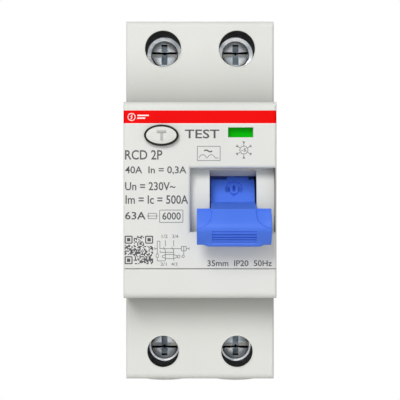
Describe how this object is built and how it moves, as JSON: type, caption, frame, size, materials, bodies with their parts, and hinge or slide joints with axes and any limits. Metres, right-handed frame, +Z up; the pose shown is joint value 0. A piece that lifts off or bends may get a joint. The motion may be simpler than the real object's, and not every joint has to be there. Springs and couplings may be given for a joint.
{
  "type": "residual current device",
  "caption": "Two-pole residual current device for a 35 mm rail, with a rocking toggle, a test button, a position flag, four cage terminals and a sliding rail clip.",
  "frame": {"origin": "centre of the face that sits on the rail", "axes": "+Y towards the rail, so the toggle side faces -Y; +Z up; +X to the right seen from the front"},
  "size_m": [0.035, 0.069, 0.0869],
  "materials": {
    "housing": "fine matt",
    "steel": "bright zinc",
    "clip_plastic": "matt",
    "toggle_blue": "satin",
    "arc_plastic": "matt",
    "copper": "bare copper",
    "flag_green": "satin",
    "core": "matt",
    "dark_plastic": "matt",
    "board": "varnished",
    "button_plastic": "fine matt",
    "resistor": "glazed"
  },
  "bodies": {
    "base": {"base_housing": "housing", "front_cover": "housing", "marker_strip": "housing", "assembly_screws": "steel", "rail_clip_spring": "steel", "toggle_pin": "steel", "toggle_spring": "steel", "mechanism_frame": "steel", "carrier_shaft": "steel", "line_bar_left": "copper", "line_bar_right": "copper", "pole_barrier": "arc_plastic", "load_bar_left": "copper", "load_bar_right": "copper", "flexible_lead_left": "copper", "flexible_lead_right": "copper", "transformer_core": "core", "secondary_winding": "copper", "transformer_case": "dark_plastic", "relay_case": "dark_plastic", "relay_coil": "copper", "relay_magnet": "core", "trip_lever_pin": "steel", "circuit_board": "board", "board_components": "dark_plastic", "test_button_spring": "steel", "test_contact_blade": "copper", "test_resistor": "resistor"},
    "toggle": {"toggle": "toggle_blue"},
    "link": {"link_rod": "steel"},
    "contact_carrier": {"contact_carrier": "arc_plastic", "contact_arm_left": "copper", "contact_arm_right": "copper", "contact_springs": "steel"},
    "position_flag": {"position_flag": "flag_green"},
    "test_button": {"test_button": "button_plastic"},
    "rail_clip": {"rail_clip": "clip_plastic"},
    "relay_plunger": {"relay_plunger": "steel"},
    "trip_lever": {"trip_lever": "arc_plastic"},
    "screw_top_left": {"screw_top_left": "steel"},
    "cage_top_left": {"cage_top_left": "steel"},
    "screw_top_right": {"screw_top_right": "steel"},
    "cage_top_right": {"cage_top_right": "steel"},
    "screw_bottom_left": {"screw_bottom_left": "steel"},
    "cage_bottom_left": {"cage_bottom_left": "steel"},
    "screw_bottom_right": {"screw_bottom_right": "steel"},
    "cage_bottom_right": {"cage_bottom_right": "steel"}
  },
  "joints": [
    {"name": "toggle_turn", "type": "hinge", "parent": "base", "child": "toggle", "pos_m": [0.00765, -0.038, 0], "axis": [-1, 0, 0], "range_deg": [0, 28]},
    {"name": "link_turn", "type": "hinge", "parent": "toggle", "child": "link", "pos_m": [0.0045, -0.03713, -0.00349], "axis": [-1, 0, 0], "range_deg": [-28, 0]},
    {"name": "carrier_turn", "type": "hinge", "parent": "base", "child": "contact_carrier", "pos_m": [0, -0.017, -0.003], "axis": [1, 0, 0], "range_deg": [0, 10]},
    {"name": "flag_slide", "type": "slide", "parent": "base", "child": "position_flag", "axis": [0, 0, -1], "range_m": [0, 0.0034]},
    {"name": "test_press", "type": "slide", "parent": "base", "child": "test_button", "axis": [0, 1, 0], "range_m": [0, 0.0012], "stiffness_N_per_m": 400, "springref_m": -0.0015, "deforming": ["test_button_spring"]},
    {"name": "clip_slide", "type": "slide", "parent": "base", "child": "rail_clip", "axis": [0, 0, -1], "range_m": [0, 0.004], "stiffness_N_per_m": 300, "springref_m": -0.004, "deforming": ["rail_clip_spring"]},
    {"name": "plunger_slide", "type": "slide", "parent": "base", "child": "relay_plunger", "axis": [0, 1, 0], "range_m": [0, 0.0015], "stiffness_N_per_m": 150, "springref_m": -0.001},
    {"name": "lever_turn", "type": "hinge", "parent": "base", "child": "trip_lever", "pos_m": [-0.0055, -0.0346, -0.0098], "axis": [-1, 0, 0], "range_deg": [0, 8.7]},
    {"name": "screw_top_left_turn", "type": "hinge", "parent": "base", "child": "screw_top_left", "pos_m": [-0.00875, -0.033, 0.03585], "axis": [0, 1, 0], "range_deg": [0, 2160]},
    {"name": "cage_top_left_lift", "type": "slide", "parent": "base", "child": "cage_top_left", "axis": [0, -1, 0], "range_m": [0, 0.0048]},
    {"name": "screw_top_right_turn", "type": "hinge", "parent": "base", "child": "screw_top_right", "pos_m": [0.00875, -0.033, 0.03585], "axis": [0, 1, 0], "range_deg": [0, 2160]},
    {"name": "cage_top_right_lift", "type": "slide", "parent": "base", "child": "cage_top_right", "axis": [0, -1, 0], "range_m": [0, 0.0048]},
    {"name": "screw_bottom_left_turn", "type": "hinge", "parent": "base", "child": "screw_bottom_left", "pos_m": [-0.00875, -0.033, -0.03585], "axis": [0, 1, 0], "range_deg": [0, 2160]},
    {"name": "cage_bottom_left_lift", "type": "slide", "parent": "base", "child": "cage_bottom_left", "axis": [0, -1, 0], "range_m": [0, 0.0048]},
    {"name": "screw_bottom_right_turn", "type": "hinge", "parent": "base", "child": "screw_bottom_right", "pos_m": [0.00875, -0.033, -0.03585], "axis": [0, 1, 0], "range_deg": [0, 2160]},
    {"name": "cage_bottom_right_lift", "type": "slide", "parent": "base", "child": "cage_bottom_right", "axis": [0, -1, 0], "range_m": [0, 0.0048]}
  ],
  "couplings": [
    {"joint": "link_turn", "follows": "toggle_turn", "ratio": -1},
    {"joint": "carrier_turn", "follows": "toggle_turn", "ratio": 0.357},
    {"joint": "flag_slide", "follows": "toggle_turn", "m_per_rad": 0.00695},
    {"joint": "lever_turn", "follows": "plunger_slide", "rad_per_m": 100},
    {"joint": "screw_top_left_turn", "follows": "cage_top_left_lift", "rad_per_m": 7853.9},
    {"joint": "screw_top_right_turn", "follows": "cage_top_right_lift", "rad_per_m": 7853.9},
    {"joint": "screw_bottom_left_turn", "follows": "cage_bottom_left_lift", "rad_per_m": 7853.9},
    {"joint": "screw_bottom_right_turn", "follows": "cage_bottom_right_lift", "rad_per_m": 7853.9}
  ]
}
